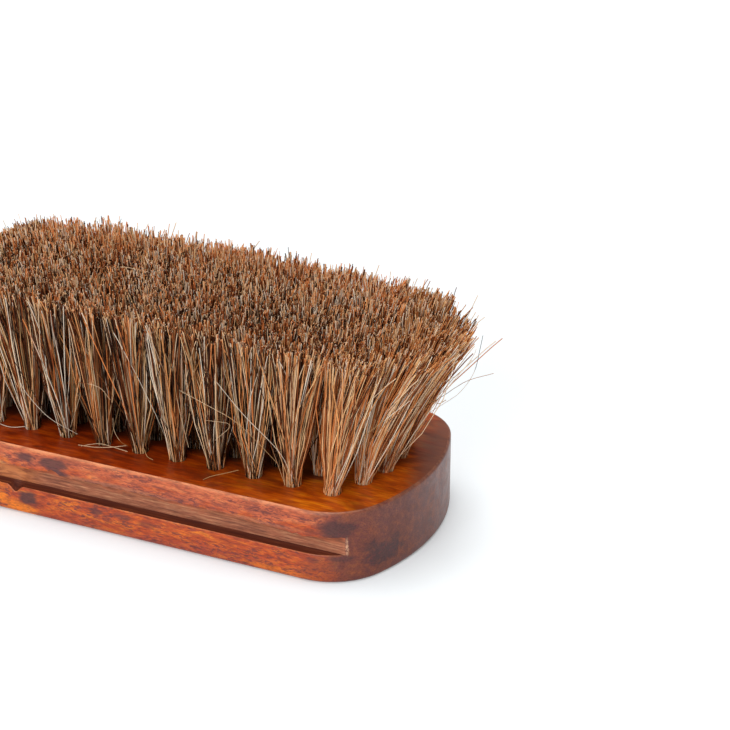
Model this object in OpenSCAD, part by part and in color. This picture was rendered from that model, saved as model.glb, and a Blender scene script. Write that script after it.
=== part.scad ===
// Shoe shine brush: a stained wooden block with finger grooves and six rows of flared horsehair tufts.
// It lies on its back with the bristles up. The origin is at the middle of the back, +X runs along
// the block, +Y across it and +Z out through the bristles.

/* [Block] */
// Length of the wooden block
block_l = 119; // [110:1:130]
// Width of the wooden block
block_w = 54; // [52:1:58]
// Thickness of the wooden block
block_t = 16; // [15:0.5:20]
// How far each end bows out past the block's corners
end_rise = 8.5; // [6:0.5:9]
// Radius of the corners in plan
corner_r = 14.2; // [12:0.2:15]
// Rounding of the edge round the bristle face
face_ease = 0.6; // [0.3:0.1:1]
// Rounding of the edge round the back
back_ease = 0.9; // [0.3:0.1:1.5]

/* [Finger grooves] */
// Height of the groove's lower wall above the back
groove_z = 6.4; // [5:0.1:7]
// Height of the groove's mouth
groove_h = 3.9; // [2.5:0.1:4]
// Depth of the groove into the side
groove_depth = 2.7; // [1.5:0.1:3]

/* [Tufts] */
// Tufts in each row along the block
tufts_in_row = 11; // [9:1:12]
// Rows across the block
tuft_rows = 6; // [5:1:6]
// From the block's end to the centre of a corner tuft
end_inset = 14.6; // [13:0.1:16]
// From the block's side to the centre of an outer tuft
side_inset = 9.5; // [8:0.1:10]
// How far the middle of an end column bows out past its corner tufts
column_bow = 5.4; // [3:0.1:6]
// Diameter of the blind holes
hole_d = 4.6; // [4.4:0.1:5.2]
// Depth of the blind holes
hole_depth = 9; // [8:0.5:10]
// Width of a tuft's folded root across its corners
root_d = 4; // [3.4:0.1:4.2]
// Height of the bristle tips above the block's face
bristle_h = 31; // [26:0.1:34]
// How far the tips reach past the last holes at the ends
end_flare = 16.5; // [12:0.1:18]
// How far the tips reach past the outer holes at the sides
side_flare = 6.3; // [5:0.1:9]
// How much shorter the shortest strand is than the longest
ragged = 0.9; // [0:0.1:1.5]

/* [Anchors] */
// Length of the flat wire, longer than the hole's diameter so that its ends bite into the wood
anchor_l = 5.6; // [5.4:0.1:5.8]
// Height of the flat wire
anchor_h = 1.8; // [1.4:0.1:2.2]
// Thickness of the flat wire
anchor_t = 0.5; // [0.3:0.1:0.6]
// Angle of the wire to the row, so that it doesn't split the grain
anchor_turn = 35; // [20:5:50]
// Thickness of the fold of hair under the wire
fold_t = 1.1; // [0.8:0.1:1.5]

/* [Hidden] */
STRANDS = 6;
// What a strand keeps of its sixth of the root, and how far it has thickened at its tip
STRAND_SHARE = 0.66;
STRAND_GROWTH = 2.1;
// How far the outermost line between two columns or two rows is pushed out at the tips
COLUMN_PUSH = 5;
ROW_PUSH = 0.9;
// How fast that push fades from each line to the next one inwards
PUSH_FADE = 0.5;
// What a corner tuft's reach loses each way
CORNER_LOSS = 0.3;
// What the tips of a tuft keep of their cell, so that neighbours stay apart
CELL_SHARE = 0.97;
// How far below the block's face the strands part from the folded root
ROOT_SINK = 1.2;
// Sides of a blind hole, few because there is one for each tuft
HOLE_SIDES = 12;
CORNER_STEPS = 9;
END_STEPS = 14;
EASE_STEPS = 3;
OVERCUT = 1;
HAIR = "#6b4a33";
STAINED_WOOD = "#9a4a1e";
STEEL = "#b9bcc0";

half_w = block_w / 2;
end_r = (half_w * half_w + end_rise * end_rise) / (2 * end_rise);
end_cx = block_l / 2 - end_r;
corner_y = half_w - corner_r;
corner_x = end_cx + sqrt(pow(end_r - corner_r, 2) - corner_y * corner_y);
// Angle at which a corner's arc meets the arc of the end
meet = atan2(corner_y, corner_x - end_cx);
hole_floor = block_t - hole_depth;
tip_z = block_t + bristle_h;
// A sixth of the root is a triangle with equal sides: how far its middle is from the tuft's axis
strand_at = root_d / 2 / sqrt(3);
strand_tip_r = strand_at * STRAND_SHARE * STRAND_GROWTH;

COLUMNS = [for (i = [0:tufts_in_row - 1]) i];
ROWS = [for (j = [0:tuft_rows - 1]) j];
function numbered(name, i) = str(name, i < 9 ? "0" : "", i + 1);

// Outline of the block in plan, drawn in by inset all round

function arc(cx, cy, r, from, to, steps) =
    [for (k = [0:steps]) let (a = from + (to - from) * k / steps) [cx + r * cos(a), cy + r * sin(a)]];

function without_ends(points) = [for (k = [1:len(points) - 2]) points[k]];

function right_end(inset) = concat(
    arc(corner_x, -corner_y, corner_r - inset, -90, -meet, CORNER_STEPS),
    without_ends(arc(end_cx, 0, end_r - inset, -meet, meet, END_STEPS)),
    arc(corner_x, corner_y, corner_r - inset, meet, 90, CORNER_STEPS)
);

function outline(inset) = concat(right_end(inset), [for (p = right_end(inset)) -p]);

// Rings of the block's skin as [height, inset], from the back up to the bristle face

function ease_rings(r) =
    [for (k = [0:EASE_STEPS]) let (a = 90 * k / EASE_STEPS) [r * (1 - cos(a)), r * (1 - sin(a))]];

function skin_rings() = concat(
    ease_rings(back_ease),
    [for (k = [EASE_STEPS:-1:0]) let (ring = ease_rings(face_ease)[k]) [block_t - ring[0], ring[1]]]
);

// Where the tufts are rooted

// Position of one of n places as -1 to 1
function across(k, n) = 2 * k / (n - 1) - 1;

// How far a row's ends bow out past the corner tufts: an arc that peaks at the middle rows
function bow(j) =
    column_bow * (1 - pow(across(j, tuft_rows), 2)) / (1 - pow(1 / (tuft_rows - 1), 2));

function root_x(i, j) = across(i, tufts_in_row) * (block_l / 2 - end_inset + bow(j));
function root_y(j) = across(j, tuft_rows) * (half_w - side_inset);

// Where the tips end up. Lines between neighbouring tufts bound a cell for each at the tips: they
// lie midway between the roots, pushed outwards near the ends, and the outer ones lie past the
// outer roots by the flare.

function pushed(k, n, push) = push * (pow(PUSH_FADE, n - k - 1) - pow(PUSH_FADE, k - 1));

function cell_line(k, n, last, reach, push) =
    k == 0 ? -last - reach
    : k == n ? last + reach
    : last * across(k - 0.5, n) + pushed(k, n, push);

function cell(k, n, last, reach, push) = [for (line = [k, k + 1]) cell_line(line, n, last, reach, push)];

// A corner tuft leans both ways at once, so it keeps only part of its reach each way
function reach_kept(i, j) =
    1 - CORNER_LOSS * pow(across(i, tufts_in_row), 6) * pow(across(j, tuft_rows), 4);

function cell_x(i, j) =
    cell(i, tufts_in_row, root_x(tufts_in_row - 1, j), end_flare * reach_kept(i, j), COLUMN_PUSH);
function cell_y(i, j) =
    cell(j, tuft_rows, root_y(tuft_rows - 1), side_flare * reach_kept(i, j), ROW_PUSH);

function middle(span) = (span[0] + span[1]) / 2;
function half(span) = (span[1] - span[0]) / 2;

function lean(i, j) = [middle(cell_x(i, j)) - root_x(i, j), middle(cell_y(i, j)) - root_y(j)];

// How much further from the tuft's axis its strands stand at the tips than at the root
function spread(i, j) =
    [for (cell = [cell_x(i, j), cell_y(i, j)]) (CELL_SHARE * half(cell) - strand_tip_r) / strand_at];

// One tuft as one closed skin: a six-sided folded root with a strand rising from each sixth of it

function corner(k, turn) = root_d / 2 * [cos(turn + 360 * k / STRANDS), sin(turn + 360 * k / STRANDS)];

// The corners of one sixth of the root
function sixth(k, turn) = [[0, 0], corner(k, turn), corner(k + 1, turn)];

function mean3(t) = (t[0] + t[1] + t[2]) / 3;
function raise(points, z) = [for (p = points) [p[0], p[1], z]];

function strand_root(k, turn) =
    let (t = sixth(k, turn), m = mean3(t)) [for (p = t) m + STRAND_SHARE * (p - m)];

function strand_tip(k, turn, toward, widen) =
    let (t = strand_root(k, turn), m = mean3(t), place = toward + [m[0] * widen[0], m[1] * widen[1]])
    [for (p = t) place + STRAND_GROWTH * (p - m)];

// Each tuft and the one diagonally opposite share a number, and so are turned alike
function pair(i, j) =
    let (count = tufts_in_row * tuft_rows, n = i * tuft_rows + j) min(n, count - 1 - n);

function tuft_points(i, j) =
    let (
        turn = rands(0, 360 / STRANDS, 1, pair(i, j))[0],
        cut = rands(0, ragged, STRANDS, i * tuft_rows + j),
        rim = [for (k = [0:STRANDS - 1]) corner(k, turn)],
        at = [root_x(i, j), root_y(j), 0],
        points = concat(
            raise(rim, hole_floor),
            raise(rim, block_t - ROOT_SINK),
            [[0, 0, block_t - ROOT_SINK]],
            [for (k = [0:STRANDS - 1]) each raise(strand_root(k, turn), block_t - ROOT_SINK)],
            [for (k = [0:STRANDS - 1])
                each raise(strand_tip(k, turn, lean(i, j), spread(i, j)), tip_z - cut[k])]
        )
    )
    [for (p = points) p + at];

// Numbers of a tuft's points: rim corners from 0 and STRANDS, the centre, then threes for the strands
RIM = STRANDS;
CENTRE = 2 * STRANDS;
ROOTS = CENTRE + 1;
TIPS = ROOTS + 3 * STRANDS;
TUFT_POINTS = TIPS + 3 * STRANDS;

function next(k, n) = (k + 1) % n;

// Two triangles for a four-sided face
function quad(a, b, c, d) = [[a, b, c], [a, c, d]];

function root_faces() = concat(
    [for (k = [1:STRANDS - 2]) [0, k, k + 1]],
    [for (k = [0:STRANDS - 1]) each quad(k, RIM + k, RIM + next(k, STRANDS), next(k, STRANDS))]
);

// The flat rim left round a strand's root within its sixth, then the strand's sides and its cut tip
function strand_faces(k) =
    let (
        outer = [CENTRE, RIM + k, RIM + next(k, STRANDS)],
        root = [for (c = [0:2]) ROOTS + 3 * k + c],
        tip = [for (c = [0:2]) TIPS + 3 * k + c]
    )
    concat(
        [for (c = [0:2]) each quad(outer[c], root[c], root[next(c, 3)], outer[next(c, 3)])],
        [for (c = [0:2]) each quad(root[c], tip[c], tip[next(c, 3)], root[next(c, 3)])],
        [[tip[2], tip[1], tip[0]]]
    );

TUFT_FACES = concat(root_faces(), [for (k = [0:STRANDS - 1]) each strand_faces(k)]);

module at_tuft(i, j) {
    translate([root_x(i, j), root_y(j), 0]) children();
}

module anchor() {
    translate([0, 0, hole_floor + fold_t + anchor_h / 2])
        rotate([0, 0, anchor_turn])
            cube([anchor_l, anchor_t, anchor_h], center = true);
}

module blank() {
    rings = skin_rings();
    n = len(outline(0));
    points = [for (ring = rings) each raise(outline(ring[1]), ring[0])];
    top = n * (len(rings) - 1);
    sides = [for (r = [0:len(rings) - 2], k = [0:n - 1])
        let (a = r * n + k, b = r * n + next(k, n)) each quad(a, a + n, b + n, b)];
    back = [for (k = [1:n - 2]) [0, k, k + 1]];
    face = [for (k = [1:n - 2]) [top, top + k + 1, top + k]];
    polyhedron(points, concat(back, sides, face));
}

module finger_groove(side) {
    translate([0, side * half_w, groove_z + groove_h / 2])
        cube([block_l, 2 * groove_depth, groove_h], center = true);
}

module block() {
    color(STAINED_WOOD)
        difference() {
            blank();
            for (side = [-1, 1]) finger_groove(side);
            for (i = COLUMNS, j = ROWS) at_tuft(i, j) {
                translate([0, 0, hole_floor])
                    cylinder(d = hole_d, h = hole_depth + OVERCUT, $fn = HOLE_SIDES);
                anchor();
            }
        }
}

module tuft_column(i) {
    skins = [for (j = ROWS) tuft_points(i, j)];
    color(HAIR)
        difference() {
            polyhedron(
                [for (skin = skins) each skin],
                [for (j = ROWS, f = TUFT_FACES) [for (p = f) p + j * TUFT_POINTS]]
            );
            for (j = ROWS) at_tuft(i, j) anchor();
        }
}

module anchor_column(i) {
    color(STEEL)
        for (j = ROWS) at_tuft(i, j) anchor();
}

block();
for (i = COLUMNS)
    tuft_column(i);
for (i = COLUMNS)
    anchor_column(i);
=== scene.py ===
"""Looks for a shoe shine brush that lies on its back: a stained wooden block with a finger groove
along each side and six rows of trimmed horsehair tufts. Lengths are in metres, in the CAD frame, where
nothing else is said."""

import math

import bmesh
import bpy
import numpy as np
from mathutils import Matrix, Vector


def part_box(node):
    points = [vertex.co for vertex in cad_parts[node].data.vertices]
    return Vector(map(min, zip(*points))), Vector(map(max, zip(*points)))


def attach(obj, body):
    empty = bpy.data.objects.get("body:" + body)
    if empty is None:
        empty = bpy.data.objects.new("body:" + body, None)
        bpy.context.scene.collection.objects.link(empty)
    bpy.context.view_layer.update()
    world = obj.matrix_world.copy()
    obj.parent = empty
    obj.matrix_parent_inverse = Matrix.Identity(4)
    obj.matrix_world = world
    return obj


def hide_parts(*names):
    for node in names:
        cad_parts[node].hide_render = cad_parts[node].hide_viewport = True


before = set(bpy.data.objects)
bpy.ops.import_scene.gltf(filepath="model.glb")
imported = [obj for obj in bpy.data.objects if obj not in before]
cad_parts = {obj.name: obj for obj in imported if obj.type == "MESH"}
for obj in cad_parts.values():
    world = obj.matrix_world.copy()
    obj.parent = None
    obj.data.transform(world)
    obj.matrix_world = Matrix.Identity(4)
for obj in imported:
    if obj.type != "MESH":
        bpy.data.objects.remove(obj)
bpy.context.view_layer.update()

MM = 0.001
BODY = "root"

# The block
BLOCK_HIGH = Vector(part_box("block")[1])
HALF_L, HALF_W, FACE_Z = BLOCK_HIGH
END_RISE = 8.5 * MM
CORNER_R = 14.2 * MM
FACE_EASE = 0.6 * MM
BACK_EASE = 0.9 * MM
END_R = (HALF_W**2 + END_RISE**2) / (2 * END_RISE)
END_CX = HALF_L - END_R
CORNER_Y = HALF_W - CORNER_R
CORNER_X = END_CX + math.sqrt((END_R - CORNER_R) ** 2 - CORNER_Y**2)
MEET = math.atan2(CORNER_Y, CORNER_X - END_CX)

# The finger grooves
GROOVE_LOW = 6.4 * MM
GROOVE_HIGH = 10.3 * MM
GROOVE_DEPTH = 2.7 * MM
GROOVE_LIP = 0.2 * MM
# The groove's upper edge is worn higher along the middle, and ragged
GROOVE_CREST = 11.2 * MM
CREST_HALF = 20 * MM
CREST_RAGGED = 0.16 * MM
# Chips in the groove's front edges: middle along the block, half width and depth
KNOT_CHIP = (-26 * MM, 1.8 * MM, 1.7 * MM)
EDGE_CHIP = (-16.5 * MM, 2.6 * MM, 0.9 * MM)
# How bare the wood is rubbed at the groove's lips, with a painted highlight there too, and the painted
# highlight round the face's edge from the side up
LIP_WEAR_AND_HIGHLIGHT = 0.35
EDGE_HIGHLIGHT = (0.1, 0.25, 0.5, 0.85, 0.6)
GROOVE_BACK = HALF_W - GROOVE_DEPTH
RUN_OUT = math.asin((GROOVE_BACK - CORNER_Y) / CORNER_R)
# Share of the groove's lip that its first ring rounds off
LIP_ROUND = 0.3
# Steps of the outline along a side, along each part of a corner and round an end
SIDE_STEPS = 150
GROOVE_CORNER_STEPS = 10
CORNER_STEPS = 14
END_STEPS = 44
# Rings up the side below and above the groove, as shares of the way
LOW_RINGS = (0.33, 0.67, 1)
HIGH_RINGS = (0, 0.33, 0.67, 0.95)
# The block's materials, in the order of its material slots
SIDE, FACE, WALL, DRILLED, LEDGE = range(5)
# Points nearer than this are merged, and edges shorter than this are taken out
MERGE_REACH = 2e-6
SHORTEST_EDGE = 1e-6

# The tufts, in columns across the block and rows along it
COLUMNS = 11
ROWS = 6
# From the block's end to the last hole of an outer row, from its side to the outer rows, and how
# much further out the last hole of a middle row lies
END_INSET = 14.6 * MM
SIDE_INSET = 9.5 * MM
COLUMN_BOW = 5.4 * MM
# The holes: radius, height of the floor and width of the bevelled rim
HOLE_R = 1.66 * MM
HOLE_FLOOR = 7 * MM
HOLE_RIM = 0.12 * MM
HOLE_SEGMENTS = 28
# Height of the tips, and how far they reach past the outer holes at the ends and at the sides
TIP_Z = 47 * MM
END_FLARE = 15.7 * MM
SIDE_FLARE = 6.3 * MM
# How far the outermost line between two columns or two rows of tips is pushed out, and how fast
# that fades from each line to the next one inwards
COLUMN_PUSH = 5 * MM
ROW_PUSH = 0.9 * MM
PUSH_FADE = 0.5
# Share of the reach that is lost in the corners; the powers keep the loss near them
CORNER_LOSS = 0.3
CORNER_POWER_X = 6
CORNER_POWER_Y = 4

# The hairs
HAIRS_PER_TUFT = 520
LOCKS_PER_TUFT = 105
# Share of hairs that keep to no lock, and how far these and the others sway sideways
LOOSE_SHARE = 0.26
LOOSE_SWAY = 1.3 * MM
LOCK_SWAY = 0.4 * MM
# Places along a hair, from the block's face to its tip, where it bends
HAIR_STEPS = (0, 0.33, 0.65, 0.93, 1)
HAIR_SIDES = 4
HAIR_R = 0.092 * MM
# How thick a hair is from its foot to its tip, as shares of HAIR_R
HAIR_TAPER = (0.8, 0.9, 1.0, 1.05, 1.0, 1.0)
THICK_SPREAD = (0.75, 1.25)
# A bundle's radius, measured this far above the face, and the height of its foot in the hole, where
# it is gathered to a share of its width
BUNDLE_R = 1.74 * MM
FACE_LIFT = 0.3 * MM
HAIR_FOOT = 7.3 * MM
FOOT_GATHER = 0.85
# How far a lock's foot keeps to the place of its tip, how far it is shuffled, and how it scatters
FOOT_ORDER = 0.7
FOOT_SHUFFLE = 0.3
FOOT_STRAY = 0.08
# Share of its patch that the tips of a tuft's locks and of its loose hairs fill
LOCK_FILL = 0.95
LOOSE_FILL = 1.05
# How the tips scatter: a lock about its place, hairs about their lock, and both in height
LOCK_STRAY = 0.6 * MM
LOCK_R = 0.15 * MM
LOCK_LEVEL = 0.75 * MM
HAIR_LEVEL = 0.55 * MM
# Share of hairs that wander off among their neighbours, and how far
WILD_SHARE = 0.06
WILD_STRAY = 3.2 * MM
# The trimmed field is a little higher in the middle, and hairs that lean far out end lower
CROWN = 1.5 * MM
CROWN_X = -14 * MM
LEAN_DROP = 0.15
LEAN_FREE = 10 * MM
DROP_SPREAD = (0.4, 1.0)
# The tips at the left end are worn lower, by so much for each length past a place, up to a limit
WORN_FROM = -47 * MM
WORN_SLOPE = 0.3
WORN_MOST = 2.4 * MM
# Share of a hair's lean that it takes evenly; the rest comes towards its tip
BEND = 0.65
# Share of hairs that have a paint of their own and not their lock's
OWN_SHARE = 0.5
# A hair's paint is made lighter by TONE, more or less by a spread, and is nowhere above BRIGHTEST
TONE = 1.9
TONE_SPREAD = (0.6, 1.4)
BRIGHTEST = 0.9
# How far a hair that would be brighter still turns pale
PALING = 0.3
# Painted light and shade from a hair's foot to its tip, in the outermost tufts, in the next ones and in
# the rest: the feet deep in the brush are darkened as painted shade, and the tips and outer tufts
# brightened as painted light
OUTER_SHADES = (2.0, 3.0, 2.8, 2.5, 2.0, 1.8)
SECOND_SHADES = (0.7, 1.5, 1.7, 1.6, 1.2, 1.9)
INNER_SHADES = (0.3, 0.3, 0.3, 0.4, 0.5, 2.1)
# The columns at the ends stand in more light and are shaded down
END_DIM = 0.62
# Steps between two places of a single stray hair
STRAY_STEPS = 5
FIRST_SEED = 100
TINY = 1e-9

# Where the tufts are rooted, as in the CAD, and the patch that each tuft's tips cover, which is
# the CAD's with the ends drawn in by a little


def across(k, n):
    """Place of the k-th of n even steps, from -1 to 1."""
    return 2 * k / (n - 1) - 1


def bow(j):
    """How far the ends of a row move outwards with the bowed ends of the block."""
    return COLUMN_BOW * (1 - across(j, ROWS) ** 2) / (1 - (1 / (ROWS - 1)) ** 2)


def root(i, j):
    """Middle of a tuft's hole."""
    x = across(i, COLUMNS) * (HALF_L - END_INSET + bow(j))
    y = across(j, ROWS) * (HALF_W - SIDE_INSET)
    return np.array((x, y))


def cell_line(k, n, last, reach, push):
    """Place of the k-th line between tips, pushed outwards near the ends."""
    if k == 0:
        return -last - reach
    if k == n:
        return last + reach
    return last * across(k - 0.5, n) + push * (PUSH_FADE ** (n - k - 1) - PUSH_FADE ** (k - 1))


def tip_cell(i, j):
    """Middle and half sizes of the patch that a tuft's tips cover."""
    corner = across(i, COLUMNS) ** CORNER_POWER_X * across(j, ROWS) ** CORNER_POWER_Y
    kept = 1 - CORNER_LOSS * corner
    last_x, last_y = root(COLUMNS - 1, j)[0], root(0, ROWS - 1)[1]
    along = (COLUMNS, last_x, END_FLARE * kept, COLUMN_PUSH)
    sideways = (ROWS, last_y, SIDE_FLARE * kept, ROW_PUSH)
    low, high = (np.array([cell_line(i + k, *along), cell_line(j + k, *sideways)]) for k in (0, 1))
    return (low + high) / 2, (high - low) / 2


# Materials

# Where the values of a noise mostly lie
NOISE_RANGE = (0.3, 0.7)
# Where a patch of stain starts to fade and where it ends, as shares of its size, and how ragged
# its rim is
SPOT_RIM = (0.5, 1.25)
SPOT_WOBBLE = 2.0
# Where the looks change, each from one place to another: up the side, along it, over the face, near
# its end, and along and up the groove
TOP_BAND = (11.4 * MM, 13.4 * MM)
LOW_BAND = (1 * MM, 2.6 * MM)
END_STAIN = (43 * MM, 50 * MM)
FACE_GOLD = (5 * MM, 50 * MM)
# The next two bound the painted shade on the face among the inner tufts
FACE_SHADE_Y = (12 * MM, 16 * MM)
FACE_SHADE_X = (40 * MM, 46 * MM)
# The next one is where the painted glare at the face's far end comes in
FACE_GLARE = (53 * MM, 58.5 * MM)
GROOVE_STAIN = (-26 * MM, -19 * MM)
GROOVE_RED = (8.8 * MM, 10.8 * MM)


def paint(text):
    """A colour in sRGB, written as in a paint list, turned to the linear values that shaders take."""
    values = [int(text[k : k + 2], 16) / 255 for k in (1, 3, 5)]
    return (*(v / 12.92 if v <= 0.04045 else ((v + 0.055) / 1.055) ** 2.4 for v in values), 1)


class Finish:
    """A material in the making, with its nodes and links by short calls."""

    def __init__(self, name):
        self.material = bpy.data.materials.new(name)
        self.material.use_nodes = True
        self.tree = self.material.node_tree
        self.tree.nodes.clear()
        self.output = self.tree.nodes.new("ShaderNodeOutputMaterial")

    def put(self, socket, value):
        if isinstance(value, bpy.types.NodeSocket):
            self.tree.links.new(value, socket)
        else:
            socket.default_value = value

    def node(self, kind, settings=None, **inputs):
        node = self.tree.nodes.new(kind)
        for key, value in (settings or {}).items():
            setattr(node, key, value)
        for key, value in inputs.items():
            self.put(node.inputs[key.replace("_", " ")], value)
        return node

    def where(self, scale=(1, 1, 1), shift=(0, 0, 0)):
        """The place on the piece, scaled and shifted."""
        place = self.node("ShaderNodeTexCoord").outputs["Object"]
        return self.node("ShaderNodeMapping", Vector=place, Scale=scale, Location=shift).outputs[0]

    def noise(self, vector, scale=1.0, detail=3.0, rough=0.5, warp=0.0):
        node = self.node("ShaderNodeTexNoise", Vector=vector, Scale=scale, Detail=detail)
        node.inputs["Roughness"].default_value = rough
        node.inputs["Distortion"].default_value = warp
        return node.outputs["Fac"]

    def ramp(self, value, *stops):
        """Colours or greys at places along a value."""
        node = self.node("ShaderNodeValToRGB", Fac=value)
        elements = node.color_ramp.elements
        while len(elements) < len(stops):
            elements.new(0.5)
        for element, (place, colour) in zip(elements, stops):
            element.position = place
            element.color = colour if isinstance(colour, tuple) else (colour, colour, colour, 1)
        return node.outputs["Color"]

    def mix(self, amount, first, second, kind="MIX"):
        node = self.node("ShaderNodeMix", {"data_type": "RGBA", "blend_type": kind})
        for number, value in ((0, amount), (6, first), (7, second)):
            self.put(node.inputs[number], value)
        return node.outputs[2]

    def maths(self, kind, first, second=0.0, clamp=False):
        node = self.node("ShaderNodeMath", {"operation": kind, "use_clamp": clamp})
        self.put(node.inputs[0], first)
        self.put(node.inputs[1], second)
        return node.outputs[0]

    def span(self, value, low, high, to_low=0.0, to_high=1.0):
        """A value between low and high, stretched to another range."""
        node = self.node("ShaderNodeMapRange", {"interpolation_type": "SMOOTHSTEP"})
        for socket, number in zip(node.inputs, (value, low, high, to_low, to_high)):
            self.put(socket, number)
        return node.outputs[0]

    def spread(self, noise, to_low, to_high):
        """A noise stretched to a range."""
        return self.span(noise, *NOISE_RANGE, to_low, to_high)

    def spot(self, middle, size, ragged):
        """1 inside a ragged patch round a place on the piece, fading to 0 outside."""
        place = self.node("ShaderNodeTexCoord").outputs["Object"]
        away = self.node("ShaderNodeVectorMath", {"operation": "SUBTRACT"})
        self.put(away.inputs[0], place)
        self.put(away.inputs[1], middle)
        scaled = self.node("ShaderNodeVectorMath", {"operation": "DIVIDE"})
        self.put(scaled.inputs[0], away.outputs[0])
        self.put(scaled.inputs[1], size)
        length = self.node("ShaderNodeVectorMath", {"operation": "LENGTH"})
        self.put(length.inputs[0], scaled.outputs[0])
        wobble = self.maths("MULTIPLY", self.maths("SUBTRACT", ragged, 0.5), SPOT_WOBBLE)
        return self.span(self.maths("ADD", length.outputs["Value"], wobble), *SPOT_RIM, 1.0, 0.0)

    def bump(self, value, strength, distance):
        node = self.node("ShaderNodeBump", Height=value, Strength=strength, Distance=distance)
        return node.outputs[0]

    def surface(self, **inputs):
        shader = self.node("ShaderNodeBsdfPrincipled", **inputs)
        self.tree.links.new(shader.outputs[0], self.output.inputs["Surface"])
        return self.material


# Dark patches on the sides where stain pooled: middle and size in millimetres, and depth
SIDE_STAINS = (
    ((-23, -27, 13.9), (2.6, 5, 1.1), 0.85),
    ((-16, -27, 13.6), (3.4, 5, 1.3), 0.85),
    ((-14.4, -27, 11.6), (2.8, 5, 0.8), 0.9),
    ((-22.8, -27, 4.0), (2.6, 5, 1.4), 0.9),
    ((-19, -27, 9.2), (4, 5, 2), 0.5),
    ((-6, -27, 4.6), (1.7, 5, 0.8), 0.75),
    ((1, -27, 4.8), (2.6, 5, 0.8), 0.5),
    ((6.5, -27, 4.4), (2.6, 5, 0.8), 0.45),
    ((49.4, -25.4, 12.2), (3.6, 4, 2.2), 0.8),
    ((50.5, -25, 5.7), (2.6, 3, 0.8), 0.6),
    ((56, -17, 5.0), (4, 7.5, 2.9), 0.85),
    ((45, -26.8, 5), (1.6, 4, 0.7), 0.5),
    ((-50, 26, 8), (5, 4, 3), 0.7),
    ((-24, 27, 4), (4, 5, 1.4), 0.6),
    ((12, 27, 13), (5, 5, 1.2), 0.6),
    ((33, 27, 3.6), (3.4, 5, 1.2), 0.6),
    ((-57, 8, 5), (4, 8, 3), 0.7),
)
# Patches that took less stain, bare ones above the groove, and a pale line down the groove's end, each
# with its paint
SIDE_BRIGHT = (
    ((-35, -27, 3.4), (8.0, 5, 4.0), 0.95, "#f0801a"),
    ((-25, -27, 1.2), (4.5, 5, 1.3), 0.85, "#f0801a"),
    ((-32, -27, 11), (6, 5, 1.0), 0.8, "#d8904e"),
    ((38, -27, 1.2), (9, 5, 1.0), 0.6, "#e8781c"),
    ((46, -27, 1.8), (5, 5, 2.6), 0.7, "#a84a20"),
    ((2, -27, 11.4), (15, 5, 0.9), 0.8, "#a8674a"),
    ((30, -27, 11.2), (12, 5, 0.6), 0.7, "#a8674a"),
    # A thin pale line down the groove's right end: worn wood with a painted highlight on its edge
    ((51.3, -24, 8.2), (0.35, 3, 2.1), 0.8, "#dca884"),
    ((10, 27, 3), (9, 5, 2), 0.7, "#f0801a"),
    ((-38, 27, 13), (8, 5, 1.4), 0.6, "#d8904e"),
    ((0, 27, 11.4), (26, 5, 0.8), 0.8, "#a8674a"),
)


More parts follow.
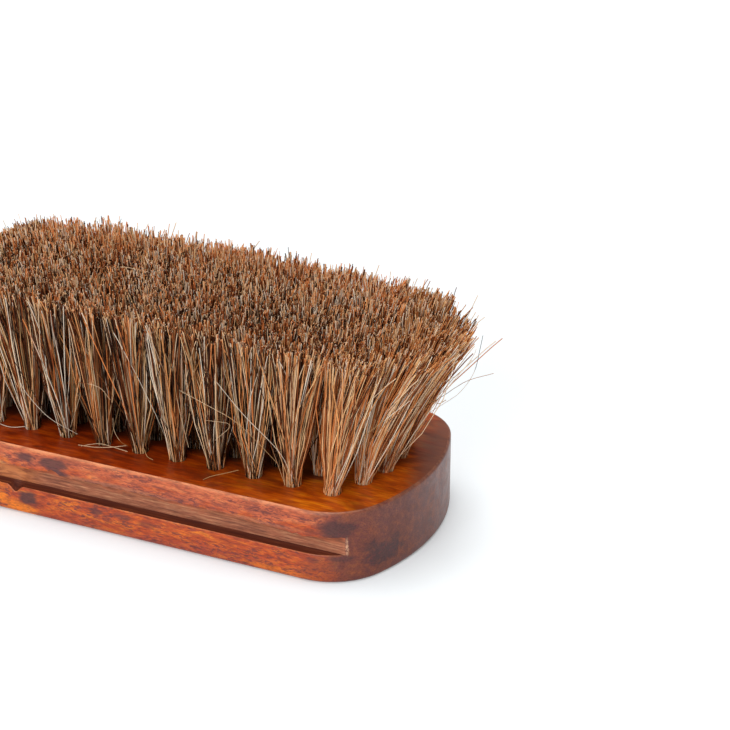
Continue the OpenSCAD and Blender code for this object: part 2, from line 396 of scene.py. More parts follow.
def stained_side():
    """The side of the block: red-orange stain, flecked along the grain, purple-brown at the ends, with
    painted highlights at the groove's worn lip and along the face's edge.
    """
    f = Finish("stained side wood")
    axes = f.node("ShaderNodeSeparateXYZ", Vector=f.where())
    streaks = f.noise(f.where((190, 900, 900)), 1.0, 4.0, 0.65, 0.5)
    flecks = f.noise(f.where((560, 2500, 2500), (3, 7, 5)), 1.0, 3.0, 0.65, 0.8)
    fine = f.noise(f.where((900, 4200, 4200), (5, 1, 2)), 1.0, 2.0, 0.6)
    beds = f.noise(f.where((75, 260, 260), (1, 4, 2)), 1.0, 3.0, 0.6, 0.8)
    cloud = f.noise(f.where((160, 420, 420), (2, 2, 6)), 1.0, 3.0, 0.6, 0.8)
    orange = f.ramp(
        streaks,
        (0.32, paint("#8c3416")),
        (0.46, paint("#b8481a")),
        (0.56, paint("#cc5c1c")),
        (0.7, paint("#e67c20")),
    )
    pink = f.ramp(streaks, (0.32, paint("#984a32")), (0.5, paint("#c65e38")), (0.68, paint("#dc7a48")))
    top_band = f.maths("ADD", axes.outputs["Z"], f.spread(beds, -1.4 * MM, 1.4 * MM))
    wood = f.mix(f.span(top_band, *TOP_BAND), orange, pink)
    low_band = f.maths("ADD", axes.outputs["Z"], f.spread(beds, 1.2 * MM, -1.2 * MM))
    low_band = f.span(low_band, *LOW_BAND, 0.5, 0.0)
    wood = f.mix(low_band, wood, paint("#a04030"))
    along = f.maths("ABSOLUTE", axes.outputs["X"])
    along = f.maths("ADD", along, f.spread(cloud, -2.5 * MM, 2.5 * MM))
    ends = f.span(along, *END_STAIN, 0.0, 0.85)
    end_wood = f.ramp(cloud, (0.3, paint("#4c2a28")), (0.5, paint("#66382e")), (0.7, paint("#84482e")))
    wood = f.mix(ends, wood, end_wood)
    for middle, size, depth, colour in SIDE_BRIGHT:
        patch = f.spot([v * MM for v in middle], [v * MM for v in size], beds)
        wood = f.mix(f.maths("MULTIPLY", patch, depth), wood, paint(colour))
    for middle, size, depth in SIDE_STAINS:
        patch = f.spot([v * MM for v in middle], [v * MM for v in size], cloud)
        wood = f.mix(f.maths("MULTIPLY", patch, depth), wood, paint("#452a2c"))
    flecked = f.maths("MULTIPLY", f.span(flecks, 0.49, 0.58), f.span(beds, 0.42, 0.58, 0.3, 0.85))
    wood = f.mix(flecked, wood, paint("#6a302e"))
    wood = f.mix(0.6, wood, f.ramp(fine, (0.36, 0.5), (0.54, 1.0)), "MULTIPLY")
    # Pale peach at the groove's lower lip, worn wood with a painted highlight on it, and a painted
    # highlight round the face's eased edge, less near the ends
    worn_and_highlit = f.node("ShaderNodeAttribute", {"attribute_name": "wear_and_highlight"}).outputs["Fac"]
    worn_and_highlit = f.maths("MULTIPLY", worn_and_highlit, f.span(streaks, 0.35, 0.6, 0.35, 1.0))
    worn_and_highlit = f.maths("MULTIPLY", worn_and_highlit, f.span(along, *END_STAIN, 1.0, 0.25))
    wood = f.mix(worn_and_highlit, wood, paint("#f0a476"))
    bump = f.bump(f.maths("ADD", streaks, f.maths("MULTIPLY", fine, 0.5)), 0.2, 0.1 * MM)
    rough = f.spread(beds, 0.42, 0.3)
    return f.surface(Base_Color=wood, Roughness=rough, Specular_IOR_Level=0.35, Normal=bump)


def stained_face():
    """The drilled face: satin orange-brown varnish over fine grain, redder to one end, with painted shade
    among the inner tufts and a painted glare at the far end.
    """
    f = Finish("stained face wood")
    axes = f.node("ShaderNodeSeparateXYZ", Vector=f.where())
    grain = f.noise(f.where((260, 2300, 900), (2, 1, 4)), 1.0, 4.0, 0.65, 0.3)
    beds = f.noise(f.where((130, 600, 300), (1, 6, 3)), 1.0, 4.0, 0.62, 0.8)
    cloud = f.noise(f.where((60, 120, 100), (4, 1, 3)), 1.0, 3.0, 0.6, 0.8)
    red = f.ramp(beds, (0.3, paint("#6c2006")), (0.5, paint("#9c3204")), (0.7, paint("#bc4e0a")))
    gold = f.ramp(beds, (0.3, paint("#a03a04")), (0.5, paint("#cc5a06")), (0.7, paint("#e68010")))
    wood = f.mix(f.span(axes.outputs["X"], *FACE_GOLD), red, gold)
    wood = f.mix(0.6, wood, f.ramp(grain, (0.36, 0.45), (0.56, 1.0)), "MULTIPLY")
    wood = f.mix(f.span(cloud, 0.5, 0.64, 0.0, 0.6), wood, paint("#541c08"))
    # Painted shade: the face among the inner tufts, which the hair above shades, is darkened to near
    # black
    inside = f.span(f.maths("ABSOLUTE", axes.outputs["Y"]), *FACE_SHADE_Y, 0.8, 0.0)
    within = f.span(f.maths("ABSOLUTE", axes.outputs["X"]), *FACE_SHADE_X, 1.0, 0.0)
    wood = f.mix(f.maths("MULTIPLY", inside, within), wood, paint("#1c0a04"))
    # Painted highlight: the face turns a pale pinkish brown towards its far end, as glare on the varnish
    far = f.maths("ADD", axes.outputs["X"], f.maths("MULTIPLY", axes.outputs["Y"], 0.25))
    far = f.maths("ADD", far, f.spread(beds, -1.2 * MM, 1.2 * MM))
    wood = f.mix(f.span(far, *FACE_GLARE, 0.0, 0.85), wood, paint("#7c4a38"))
    bump = f.bump(grain, 0.15, 0.08 * MM)
    rough = f.spread(cloud, 0.28, 0.4)
    return f.surface(Base_Color=wood, Roughness=rough, Specular_IOR_Level=0.28, Normal=bump)


def cut_wood():
    """The wall of the groove: bare brown wood with combed grain."""
    f = Finish("cut wood of the groove")
    grain = f.noise(f.where((190, 3600, 3600)), 1.0, 4.0, 0.7, 0.2)
    beds = f.noise(f.where((220, 1000, 1000), (3, 3, 1)), 1.0, 3.0, 0.6, 0.5)
    wood = f.ramp(grain, (0.32, paint("#70402e")), (0.5, paint("#a86040")), (0.7, paint("#cc9068")))
    wood = f.mix(0.6, wood, f.ramp(beds, (0.34, 0.5), (0.6, 1.0)), "MULTIPLY")
    axes = f.node("ShaderNodeSeparateXYZ", Vector=f.where())
    stained = f.ramp(beds, (0.35, paint("#8a4422")), (0.6, paint("#d08048")))
    wood = f.mix(f.span(axes.outputs["X"], *GROOVE_STAIN, 0.85, 0.0), wood, stained)
    crest = f.maths("ADD", axes.outputs["Z"], f.spread(beds, -0.7 * MM, 0.7 * MM))
    near_top = f.span(crest, *GROOVE_RED, 0.0, 0.9)
    wood = f.mix(near_top, wood, f.ramp(grain, (0.35, paint("#a04c30")), (0.6, paint("#c86840"))))
    return f.surface(Base_Color=wood, Roughness=0.7, Normal=f.bump(grain, 0.5, 0.15 * MM))


def shaded_ledge():
    """The lower face of the groove, painted dark brown as the shade under the groove's overhang."""
    f = Finish("dark ledge of the groove")
    grain = f.noise(f.where((120, 1500, 1500)), 1.0, 3.0, 0.6, 0.2)
    wood = f.ramp(grain, (0.32, paint("#4a1a0c")), (0.55, paint("#5e2814")), (0.72, paint("#7c4024")))
    return f.surface(Base_Color=wood, Roughness=0.6, Specular_IOR_Level=0.25)


def drilled_wood():
    """The walls of the holes, dark brown."""
    f = Finish("drilled wood of the holes")
    grain = f.noise(f.where((60, 300, 300)), 4.0, 3.0, 0.6)
    wood = f.ramp(grain, (0.35, paint("#2c160a")), (0.65, paint("#502a14")))
    return f.surface(Base_Color=wood, Roughness=0.8)


def horsehair():
    """Hair in its own shade, which carries painted shade at its foot and painted light at its tip, a
    little mottled along its length.
    """
    f = Finish("trimmed horsehair")
    shade = f.node("ShaderNodeAttribute", {"attribute_name": "shade"}).outputs["Color"]
    along = f.noise(f.where((1, 1, 0.3)), 900.0, 2.0, 0.6)
    hair = f.mix(0.5, shade, f.ramp(along, (0.3, 0.6), (0.7, 1.0)), "MULTIPLY")
    return f.surface(Base_Color=hair, Roughness=0.6, Specular_IOR_Level=0.1)


def steel_wire():
    """Flat steel wire with drawn lines."""
    f = Finish("flat steel wire")
    lines = f.noise(f.where((200, 200, 4000)), 2.0, 2.0, 0.5)
    steel = f.ramp(lines, (0.3, paint("#8e9194")), (0.7, paint("#c4c7ca")))
    return f.surface(Base_Color=steel, Metallic=1.0, Roughness=0.35)


# The block: rings of its outline stacked up the sides, with the groove's rings drawn in


def arc(cx, cy, r, start, end, count):
    angles = np.linspace(start, end, count + 1)[:-1]
    outward = np.column_stack((np.cos(angles), np.sin(angles)))
    return outward * r + (cx, cy), outward


def outline():
    """Points of the outline in plan and the outward direction at each."""
    side = np.linspace(CORNER_X, -CORNER_X, SIDE_STEPS + 1)[:-1]
    side_outward = np.tile((0.0, 1.0), (SIDE_STEPS, 1))
    pieces = (
        arc(CORNER_X, -CORNER_Y, CORNER_R, -math.pi / 2, -RUN_OUT, GROOVE_CORNER_STEPS),
        arc(CORNER_X, -CORNER_Y, CORNER_R, -RUN_OUT, -MEET, CORNER_STEPS),
        arc(END_CX, 0, END_R, -MEET, MEET, END_STEPS),
        arc(CORNER_X, CORNER_Y, CORNER_R, MEET, RUN_OUT, CORNER_STEPS),
        arc(CORNER_X, CORNER_Y, CORNER_R, RUN_OUT, math.pi / 2, GROOVE_CORNER_STEPS),
        (np.column_stack((side, np.full(SIDE_STEPS, HALF_W))), side_outward),
    )
    points = np.vstack([p for p, _ in pieces])
    outward = np.vstack([o for _, o in pieces])
    return np.vstack((points, -points)), np.vstack((outward, -outward))


def eased(r, count=4):
    """Heights and insets round an eased edge, from the flat inwards."""
    angles = [math.pi / 2 * k / count for k in range(count + 1)]
    return [(r * (1 - math.cos(a)), r * (1 - math.sin(a))) for a in angles]


def extruded(bm, edges):
    """Extrudes a loop of edges in place; gives the new points, the new loop and the faces between."""
    made = bmesh.ops.extrude_edge_only(bm, edges=edges)["geom"]
    fresh = {g for g in made if isinstance(g, bmesh.types.BMVert)}
    loop = [g for g in made if isinstance(g, bmesh.types.BMEdge) and set(g.verts) <= fresh]
    return fresh, loop, [g for g in made if isinstance(g, bmesh.types.BMFace)]


def block_rings(points, outward, deep):
    """Rings of the outline from the back up, each with its share of wear and painted highlight, and the
    number of the ledge's ring.
    """

    def chip(middle, half_width, depth):
        """How far a chip in the front edge reaches at each point."""
        near = np.clip(1 - np.abs(points[:, 0] - middle) / half_width, 0, 1)
        return depth * near * (points[:, 1] < 0)

    def ring(height, inset=0.0, cut=False, lip=False):
        place = points - outward * (inset * (deep if lip else np.ones(len(deep))))[:, None]
        if cut:
            place[:, 1] = np.clip(place[:, 1], -GROOVE_BACK, GROOVE_BACK)
        return np.column_stack((place, np.zeros(len(place)) + height))

    lip = GROOVE_LIP
    start = LIP_ROUND * lip
    low = GROOVE_LOW - chip(*KNOT_CHIP)
    far = np.clip((np.abs(points[:, 0]) - CREST_HALF) / (CORNER_X - CREST_HALF), 0, 1)
    rough = np.random.default_rng(FIRST_SEED).normal(0, CREST_RAGGED, len(points))
    high = GROOVE_HIGH + (GROOVE_CREST - GROOVE_HIGH) * (1 - far**2) + chip(*EDGE_CHIP)
    high = high + (rough + np.roll(rough, 1)) / 2 * deep
    rings = [(ring(z, inset), 0) for z, inset in eased(BACK_EASE)]
    rings += [(ring(BACK_EASE + share * (low - lip - BACK_EASE)), 0) for share in LOW_RINGS]
    rings += [(ring(low - start, start, lip=True), LIP_WEAR_AND_HIGHLIGHT), (ring(low, lip, lip=True), LIP_WEAR_AND_HIGHLIGHT)]
    ledge = len(rings)
    rings += [(ring(GROOVE_LOW, cut=True), 0), (ring(high, cut=True), 0)]
    rings += [(ring(high, lip, lip=True), 0), (ring(high + start, start, lip=True), 0)]
    top = FACE_Z - FACE_EASE
    rings += [(ring(high + lip + share * (top - high - lip)), 0) for share in HIGH_RINGS]
    edge = reversed(eased(FACE_EASE))
    # The face's eased edge gets a painted highlight, strongest just below the face
    rings += [(ring(FACE_Z - z, inset), worn_and_highlit) for (z, inset), worn_and_highlit in zip(edge, EDGE_HIGHLIGHT)]
    return rings, ledge


def build_block():
    points, outward = outline()
    # 1 where the outline lies outside the groove's wall, 0 where it lies inside
    deep = np.clip((np.abs(points[:, 1]) - GROOVE_BACK) / GROOVE_LIP, 0, 1)
    rings, ledge = block_rings(points, outward, deep)
    bm = bmesh.new()
    wear_and_highlight = bm.verts.layers.float.new("wear_and_highlight")
    loop = bmesh.ops.create_circle(bm, cap_ends=False, segments=len(points), radius=1)["verts"]
    edges = list(bm.edges)
    for v, co in zip(loop, rings[0][0]):
        v.co = co
    bmesh.ops.edgeloop_fill(bm, edges=edges)
    for number, (places, worn_and_highlit) in enumerate(rings[1:], start=1):
        fresh, edges, faces = extruded(bm, edges)
        loop = [next(e.other_vert(v) for e in v.link_edges if e.other_vert(v) in fresh) for v in loop]
        for v, co, share in zip(loop, places, deep):
            v.co = co
            v[wear_and_highlight] = worn_and_highlit * (share if worn_and_highlit == LIP_WEAR_AND_HIGHLIGHT else 1)
        for face in faces:
            face.smooth = True
            inside = all(abs(v.co.y) > GROOVE_BACK - SHORTEST_EDGE for v in face.verts)
            cut = {ledge: LEDGE, ledge + 1: WALL, ledge + 2: WALL} if inside else {}
            face.material_index = cut.get(number, SIDE)
    drill_holes(bm, edges)
    bmesh.ops.remove_doubles(bm, verts=bm.verts, dist=MERGE_REACH)
    bmesh.ops.dissolve_degenerate(bm, edges=bm.edges, dist=SHORTEST_EDGE)
    bmesh.ops.recalc_face_normals(bm, faces=bm.faces)
    return bm


def drill_holes(bm, rim_edges):
    """Closes the face round a hole for each tuft, and sinks the holes."""
    radius = HOLE_R + HOLE_RIM
    mouths = []
    for i in range(COLUMNS):
        for j in range(ROWS):
            centre = Vector((*root(i, j), FACE_Z))
            place = Matrix.Translation(centre)
            made = bmesh.ops.create_circle(
                bm, cap_ends=False, segments=HOLE_SEGMENTS, radius=radius, matrix=place
            )
            ring_edges = list(dict.fromkeys(e for v in made["verts"] for e in v.link_edges))
            mouths.append((centre, ring_edges))
    every = list(rim_edges) + [e for _, ring_edges in mouths for e in ring_edges]
    filled = bmesh.ops.triangle_fill(
        bm, use_beauty=True, use_dissolve=False, edges=every, normal=(0, 0, 1)
    )
    for face in (g for g in filled["geom"] if isinstance(g, bmesh.types.BMFace)):
        face.material_index = FACE
        face.smooth = False
    for centre, edges in mouths:
        for size, z in ((HOLE_R, FACE_Z - HOLE_RIM), (HOLE_R, HOLE_FLOOR)):
            fresh, edges, faces = extruded(bm, edges)
            for v in fresh:
                flat = Vector((v.co.x - centre.x, v.co.y - centre.y, 0)).normalized() * size
                v.co = Vector((centre.x, centre.y, z)) + flat
            for face in faces:
                face.material_index = DRILLED
                face.smooth = True
        floor = bmesh.ops.edgeloop_fill(bm, edges=edges)
        for face in floor["faces"]:
            face.material_index = DRILLED


def placed(name, data):
    """An object of this data, linked to the scene."""
    thing = bpy.data.objects.new(name, data)
    bpy.context.scene.collection.objects.link(thing)
    return thing


def finished(bm, name, slot, *materials):
    """A mesh piece at the origin that rides with the body."""
    mesh = bpy.data.meshes.new(name)
    bm.to_mesh(mesh)
    bm.free()
    piece = placed(name, mesh)
    for material in materials:
        mesh.materials.append(material)
    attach(piece, BODY)
    return piece


# The hair

HAIR_PAINTS = ("#200e06", "#502610", "#824b26", "#a77244", "#c69c6c", "#e0bd98", "#f0dec8")
HAIR_SHADES = np.array([paint(c)[:3] for c in HAIR_PAINTS])
# Share of each paint among a tuft's locks, and among the hairs that differ from their lock; the inner
# tufts take more dark paints and the outermost more light ones, partly as painted shade and light
INNER_SHARES = (0.26, 0.18, 0.16, 0.13, 0.11, 0.09, 0.07), (0.27, 0.15, 0.13, 0.12, 0.12, 0.11, 0.1)
OUTER_SHARES = (0.05, 0.15, 0.24, 0.22, 0.16, 0.12, 0.06), (0.08, 0.14, 0.2, 0.2, 0.16, 0.13, 0.09)


def disc(draw, count):
    """Places spread evenly over a disc of radius 1."""
    angle = draw.uniform(0, 2 * math.pi, count)
    return np.column_stack((np.cos(angle), np.sin(angle))) * np.sqrt(draw.uniform(0, 1, (count, 1)))


def to_square(places):
    """Stretches a disc to a square, so that tips fill their cell."""
    far = np.linalg.norm(places, axis=1, keepdims=True)
    return places * far / np.maximum(np.abs(places).max(1, keepdims=True), TINY)


def tip_heights(draw, tip, lock, reach):
    """Where hairs end: crowned and trimmed a little unevenly, lower far out and at the left end."""
    crown = CROWN * (1 - ((tip[:, 0] - CROWN_X) / HALF_L) ** 2)
    drop = draw.uniform(*DROP_SPREAD, len(tip)) * LEAN_DROP * np.maximum(reach - LEAN_FREE, 0)
    level = draw.normal(0, LOCK_LEVEL, LOCKS_PER_TUFT)[lock]
    height = TIP_Z + crown - drop + level - np.abs(draw.normal(0, HAIR_LEVEL, len(tip)))
    return height - np.clip((WORN_FROM - tip[:, 0]) * WORN_SLOPE, 0, WORN_MOST)


def hair_shades(draw, lock, i, j):
    """Colours of a tuft's hairs from foot to tip, by how deep in the brush the tuft stands, with painted
    shade at the feet and painted light at the tips.
    """
    count = len(lock)
    depth = min(i, j, COLUMNS - 1 - i, ROWS - 1 - j)
    lock_shares, hair_shares = INNER_SHARES if depth else OUTER_SHARES
    tone = draw.choice(len(HAIR_SHADES), LOCKS_PER_TUFT, p=lock_shares)[lock]
    own = draw.choice(len(HAIR_SHADES), count, p=hair_shares)
    tone = np.where(draw.uniform(0, 1, count) < OWN_SHARE, own, tone)
    shade = HAIR_SHADES[tone] * draw.uniform(*TONE_SPREAD, (count, 1)) * TONE
    # Painted shade darkens the feet deep in the brush, and painted light brightens the tips and the outer
    # tufts
    along = np.array((OUTER_SHADES, SECOND_SHADES, INNER_SHADES)[min(depth, 2)])[:, None]
    if i in (0, COLUMNS - 1):
        along = along * END_DIM
    shade = shade[:, None, :] * along
    over = np.maximum(shade.max(2, keepdims=True) / BRIGHTEST, 1)
    return shade / over + (HAIR_SHADES[-1] - shade / over) * (1 - 1 / over) * PALING


def tuft_hairs(draw, i, j):
    """A tuft's hairs: their paths as points from the foot up, their shades and their thicknesses."""
    place = root(i, j)
    middle, half = tip_cell(i, j)
    count = HAIRS_PER_TUFT
    locks = disc(draw, LOCKS_PER_TUFT)
    lock = draw.integers(0, LOCKS_PER_TUFT, count)
    loose = draw.uniform(0, 1, (count, 1)) < LOOSE_SHARE
    foot_at = FOOT_ORDER * locks[lock] + FOOT_SHUFFLE * disc(draw, LOCKS_PER_TUFT)[lock]
    foot_at = foot_at + draw.normal(0, FOOT_STRAY, (count, 2))
    foot_at /= np.maximum(np.linalg.norm(foot_at, axis=1, keepdims=True), 1)
    foot = place + np.where(loose, disc(draw, count), foot_at) * BUNDLE_R
    lock_tip = middle + to_square(locks) * half * LOCK_FILL
    lock_tip = lock_tip + draw.normal(0, LOCK_STRAY, (LOCKS_PER_TUFT, 2))
    tip = lock_tip[lock] + draw.normal(0, LOCK_R, (count, 2))
    tip = np.where(loose, middle + to_square(disc(draw, count)) * half * LOOSE_FILL, tip)
    wild = draw.uniform(0, 1, (count, 1)) < WILD_SHARE
    tip += np.where(wild, draw.normal(0, WILD_STRAY, (count, 2)), 0)
    height = tip_heights(draw, tip, lock, np.linalg.norm(tip - place, axis=1))
    t = np.array(HAIR_STEPS)[:, None, None]
    start = np.column_stack((foot, np.full(count, FACE_Z + FACE_LIFT)))
    end = np.column_stack((tip, height))
    bend = np.concatenate((BEND * t + (1 - BEND) * t**2,) * 2 + (t,), axis=2)
    path = start + (end - start) * bend
    lock_sway = draw.normal(0, LOCK_SWAY, (LOCKS_PER_TUFT, 2))[lock]
    sway = draw.normal(0, 1, (count, 2)) * np.where(loose | wild, LOOSE_SWAY, LOCK_SWAY)
    path[:, :, :2] += (lock_sway + sway) * np.sin(math.pi * t)
    low = np.column_stack((place + (foot - place) * FOOT_GATHER, np.full(count, HAIR_FOOT)))
    path = np.concatenate((low[None], path))
    shade = hair_shades(draw, lock, i, j)
    thick = HAIR_R * draw.uniform(*THICK_SPREAD, count)
    return path.transpose(1, 0, 2), shade, thick


def hair_piece(name, hairs, material):
    """Hairs as bevelled curves made into one mesh, each hair in its own shade with its painted light and
    shade.
    """
    curve = bpy.data.curves.new(name, "CURVE")
    curve.dimensions = "3D"
    curve.bevel_depth = 1.0
    curve.bevel_resolution = 0
    curve.use_fill_caps = True
    for path, _, thick in hairs:
        spline = curve.splines.new("POLY")
        spline.points.add(len(path) - 1)
        spline.points.foreach_set("co", np.column_stack((path, np.ones(len(path)))).ravel())
        taper = np.interp(np.linspace(0, 1, len(path)), np.linspace(0, 1, len(HAIR_TAPER)), HAIR_TAPER)
        spline.points.foreach_set("radius", taper * thick)
    holder = placed(name + "_path", curve)
    mesh = bpy.data.meshes.new_from_object(holder.evaluated_get(bpy.context.evaluated_depsgraph_get()))
    bpy.data.objects.remove(holder)
    mesh.name = name
    at = np.empty(3 * len(mesh.vertices), np.float32)
    mesh.vertices.foreach_get("co", at)
    count = [len(path) * HAIR_SIDES for path, _, _ in hairs]
    caps = (len(mesh.vertices) - sum(count)) // len(hairs)
    ends = np.cumsum([0] + [n + caps for n in count])
    colours = np.ones((len(mesh.vertices), 4))
    for (path, shade, _), start, end in zip(hairs, ends, ends[1:]):
        height = at[3 * start + 2 : 3 * end : 3]
        order = np.argsort(path[:, 2])
        for channel in range(3):
            colours[start:end, channel] = np.interp(height, path[order, 2], shade[order, channel])
    shades = mesh.attributes.new("shade", "FLOAT_COLOR", "POINT")
    shades.data.foreach_set("color", colours.ravel())
    mesh.polygons.foreach_set("use_smooth", np.ones(len(mesh.polygons), bool))
    mesh.materials.clear()
    mesh.materials.append(material)
    piece = placed(name, mesh)
    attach(piece, BODY)
    return piece


# Hairs that have come out of line, each by a few places in millimetres, its paint and its thickness
STRAY_HAIRS = (
    (
        ((51, 6, 22), (59.8, 6, 29.2), (63.1, 6, 32.5), (65.7, 6, 37.1), (66.8, 6, 42.2), (67, 7, 45)),
        5,
        0.055,
    ),
    (((50, 2, 24), (59.9, 2, 31.8), (63.2, 2, 34.7), (66.4, 2, 37.1), (71.5, 2, 39.5)), 5, 0.055),
    (((53, 0, 30), (60.7, 0, 36), (64.9, 0, 39), (67.6, 0, 43), (68.4, 0, 45)), 6, 0.05),
    (((52, 0, 26), (58.6, 0, 31.5), (60.4, 0, 31.4), (62.1, 0, 32.6)), 0, 0.07),
    (((56, 14, 36), (62.2, 12, 43.4), (63.9, 12, 45.4), (65.3, 12, 46.8)), 3, 0.07),
    (((-12.4, -21.3, 16.1), (-9, -19.6, 16.6), (-5.4, -19.4, 16.4), (-2.1, -19.4, 16.1)), 5, 0.09),
    (((-13.2, -21.1, 16.1), (-8.9, -21.2, 16.5), (-5.7, -19.9, 16.6), (-2.8, -18.6, 17)), 4, 0.09),
    (((1, -18, 17.4), (2.9, -19.7, 16.2), (4.7, -20.4, 16.1)), 5, 0.08),
    (((18.6, -23.9, 16.1), (19.6, -22.5, 16.4), (21.6, -20.5, 16.6), (24, -18.6, 17)), 5, 0.08),
    (((7.6, 13.9, 46.6), (6.4, 21.3, 48), (5.1, 27.8, 48.4)), 5, 0.1),
    (((50, -1, 18), (53, -2, 19.8), (54.1, -2, 22), (53.1, -2, 24.4), (50.8, -2, 25)), 4, 0.08),
    (((-9.2, -25, 38.1), (-5.1, -24.5, 35.7), (-2.9, -22.5, 29.9), (-1.6, -21, 25.9)), 4, 0.06),
    (((-12.3, -25, 32.3), (-8.7, -24.5, 32.8), (-5, -24, 32.2), (-3.3, -23, 29.4)), 2, 0.06),
    (
        ((14.5, -25, 35.9), (20.1, -24.5, 33.7), (26.1, -24, 31.2), (29.9, -22, 26.7), (33.7, -20, 21.4)),
        2,
        0.06,
    ),
    (((25, -25.5, 43.2), (26.2, -24, 35.6), (27.3, -21.5, 25.9), (27.6, -19.3, 18.8)), 5, 0.06),
    (((13.3, -24.5, 42.1), (12.4, -23, 35.4), (12.1, -21, 28.6), (12.6, -19, 20)), 4, 0.06),
    (((-5.5, -19, 23.1), (-5.4, -19, 20.3), (-3.7, -19.5, 18.3), (-1.5, -20, 17.8)), 4, 0.05),
    (((52.6, -18, 27.9), (56.1, -19, 33), (60.8, -20, 38), (66.1, -21, 41.2)), 5, 0.06),
    (((-26.7, -24, 30.9), (-31.1, -22, 22.3), (-33.6, -20, 17.3)), 3, 0.06),
    (((19.1, -23, 29.3), (24.8, -23, 29.4), (20.7, -22, 24.7)), 2, 0.045),
    (((-36, -20, 17.4), (-33.7, -20, 16.4), (-30.7, -20, 16.2), (-27.6, -18.6, 16.4)), 5, 0.08),
    (((-25, -24, 30), (-23, -24, 27), (-19.1, -22.6, 22), (-14.6, -19, 17.4)), 6, 0.06),
    (((26, -30, 42), (30, -26.4, 34), (35.4, -22, 25), (36.6, -18.4, 17)), 6, 0.06),
    (((62, -18, 40), (57, -17, 35), (50, -15, 27.5), (46.4, -12, 19)), 6, 0.06),
    (((-34, 24, 20), (-28, 29.5, 24), (-20, 31, 30), (-14, 29, 33)), 4, 0.09),
    (((-58, 8, 24), (-64, 6, 31), (-68, 3, 36), (-69.5, -1, 39)), 5, 0.06),
    (((-57, -6, 26), (-63, -9, 32), (-67, -14, 35)), 4, 0.07),
    (((20, 21, 17), (24, 25, 17.2), (29, 24.4, 16.3), (33, 22.6, 16.3)), 5, 0.08),
    (((-20, 3, 46.4), (-14, 1.4, 48.4), (-8, 2, 48)), 5, 0.07),
)


def stray_path(places):
    """A smooth line through a stray hair's places."""
    points = np.array(places) * MM
    at = np.linspace(0, len(points) - 1, STRAY_STEPS * (len(points) - 1) + 1)
    low = np.minimum(at.astype(int), len(points) - 2)
    t = (at - low)[:, None]
    padded = np.vstack((2 * points[0] - points[1], points, 2 * points[-1] - points[-2]))
    before, first, second, after = (padded[low + k] for k in range(4))
    return (
        first
        + t * (second - before) / 2
        + t**2 * (before - 2.5 * first + 2 * second - 0.5 * after)
        + t**3 * (1.5 * (first - second) + (after - before) / 2)
    )


block = finished(
    build_block(),
    "wooden_block",
    "stained_wood",
    stained_side(),
    stained_face(),
    cut_wood(),
    drilled_wood(),
    shaded_ledge(),
)
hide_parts("block")

hair_finish = horsehair()
for i in range(COLUMNS):
    draw = np.random.default_rng(FIRST_SEED + i)
    hairs = [hair for j in range(ROWS) for hair in zip(*tuft_hairs(draw, i, j))]
    column = hair_piece(f"horsehair_column_{i + 1:02d}", hairs, hair_finish)
    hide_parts(f"tuft_column_{i + 1:02d}")
strays = []
for places, tone, thick in STRAY_HAIRS:
    path = stray_path(places)
    strays.append((path, np.tile(HAIR_SHADES[tone], (len(path), 1)), thick * MM))
hair_piece("stray_hairs", strays, hair_finish)

steel = steel_wire()
for i in range(COLUMNS):
    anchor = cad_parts[f"anchor_column_{i + 1:02d}"]
    anchor.data.materials.clear()
    anchor.data.materials.append(steel)

# Floor, lamps and camera

# The floor's own white is weaker near the brush, so that its shadow shows
NEAR_GLOW = 0.2
FAR_GLOW = 0.6
NEAR_REACH = 0.12
FAR_REACH = 0.6
FLOOR_HALF = 3.0
FLOOR_GREY = (0.7, 0.74, 0.76, 1)
SKY_STRENGTH = 0.5
# Each lamp's name, place, size and power, and where they all aim
LAMPS = (
    ("overhead softbox", (0.03, 0.05, 0.8), 0.4, 4.9),
    ("front softbox", (0.03, -0.8, 0.4), 0.5, 4.5),
)
LAMP_AIM = (0, 0, 0.02)
CAMERA_PLACE = Vector((204.46, -342.46, 205.87)) * MM
CAMERA_AIM = Vector((24.09, 42.43, 16.0)) * MM
SENSOR_WIDTH = 36
FOCAL_LENGTH = 99.58
NEAREST_SEEN = 0.01


def floor_finish():
    """A pale floor that shows white to the camera and keeps the brush's shadow."""
    f = Finish("pale floor")
    diffuse = f.node("ShaderNodeBsdfDiffuse", Color=FLOOR_GREY)
    path = f.node("ShaderNodeLightPath")
    seen = f.maths("ADD", path.outputs["Is Camera Ray"], path.outputs["Is Glossy Ray"])
    seen = f.maths("ADD", seen, path.outputs["Is Transmission Ray"], clamp=True)
    away = f.node("ShaderNodeVectorMath", {"operation": "LENGTH"}, Vector=f.where())
    white = f.span(away.outputs["Value"], NEAR_REACH, FAR_REACH, NEAR_GLOW, FAR_GLOW)
    glow = f.node("ShaderNodeEmission", Color=(1, 1, 1, 1), Strength=f.maths("MULTIPLY", seen, white))
    both = f.node("ShaderNodeAddShader")
    f.tree.links.new(diffuse.outputs[0], both.inputs[0])
    f.tree.links.new(glow.outputs[0], both.inputs[1])
    f.tree.links.new(both.outputs[0], f.output.inputs["Surface"])
    return f.material


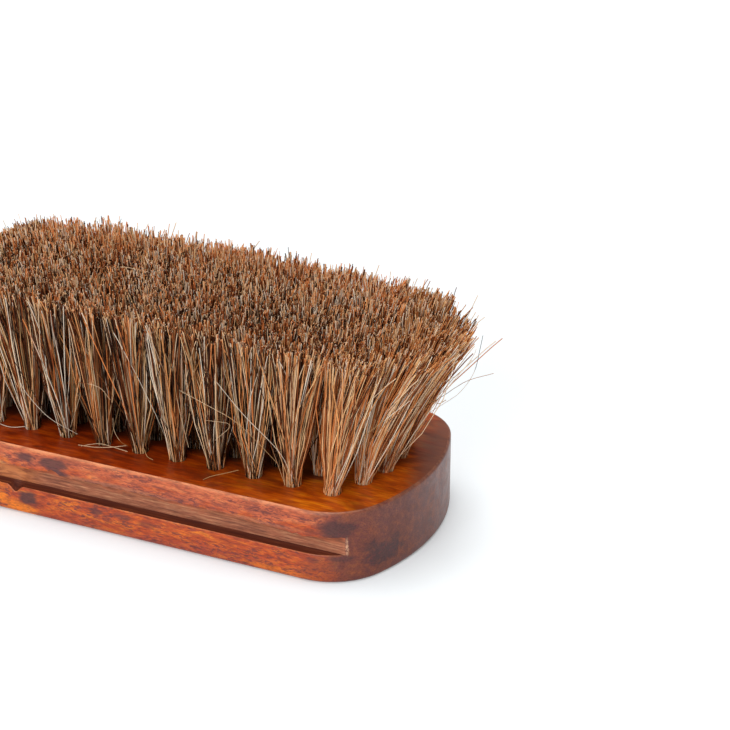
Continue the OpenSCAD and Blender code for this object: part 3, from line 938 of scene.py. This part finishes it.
def white_surroundings(strength):
    """An even soft light that the camera sees as white."""
    world = bpy.data.worlds.new("soft studio")
    bpy.context.scene.world = world
    world.use_nodes = True
    tree = world.node_tree
    tree.nodes.clear()
    path = tree.nodes.new("ShaderNodeLightPath")
    seen = tree.nodes.new("ShaderNodeMath")
    seen.operation = "MAXIMUM"
    tree.links.new(path.outputs["Is Camera Ray"], seen.inputs[0])
    tree.links.new(path.outputs["Is Transmission Ray"], seen.inputs[1])
    light = tree.nodes.new("ShaderNodeBackground")
    white = tree.nodes.new("ShaderNodeBackground")
    both = tree.nodes.new("ShaderNodeMixShader")
    light.inputs["Strength"].default_value = strength
    white.inputs["Strength"].default_value = 1.0
    tree.links.new(seen.outputs[0], both.inputs[0])
    tree.links.new(light.outputs[0], both.inputs[1])
    tree.links.new(white.outputs[0], both.inputs[2])
    output = tree.nodes.new("ShaderNodeOutputWorld")
    tree.links.new(both.outputs[0], output.inputs["Surface"])


def aimed(name, data, place, aim):
    """A lamp or a camera at a place, turned to where it aims."""
    thing = placed(name, data)
    thing.location = place
    thing.rotation_euler = (Vector(aim) - Vector(place)).to_track_quat("-Z", "Y").to_euler()
    return thing


def lamp(name, place, size, power):
    """A square soft lamp."""
    light = bpy.data.lights.new(name, "AREA")
    light.shape = "SQUARE"
    light.size = size
    light.energy = power
    aimed(name, light, place, LAMP_AIM)


floor_mesh = bmesh.new()
bmesh.ops.create_grid(floor_mesh, x_segments=1, y_segments=1, size=FLOOR_HALF)
floor_data = bpy.data.meshes.new("floor")
floor_mesh.to_mesh(floor_data)
floor_mesh.free()
floor_data.materials.append(floor_finish())
floor = placed("floor", floor_data)

white_surroundings(SKY_STRENGTH)
for settings in LAMPS:
    lamp(*settings)

camera_data = bpy.data.cameras.new("camera")
camera_data.sensor_width = SENSOR_WIDTH
camera_data.lens = FOCAL_LENGTH
camera_data.clip_start = NEAREST_SEEN
bpy.context.scene.camera = aimed("camera", camera_data, CAMERA_PLACE, CAMERA_AIM)
bpy.context.scene.view_settings.view_transform = "Standard"
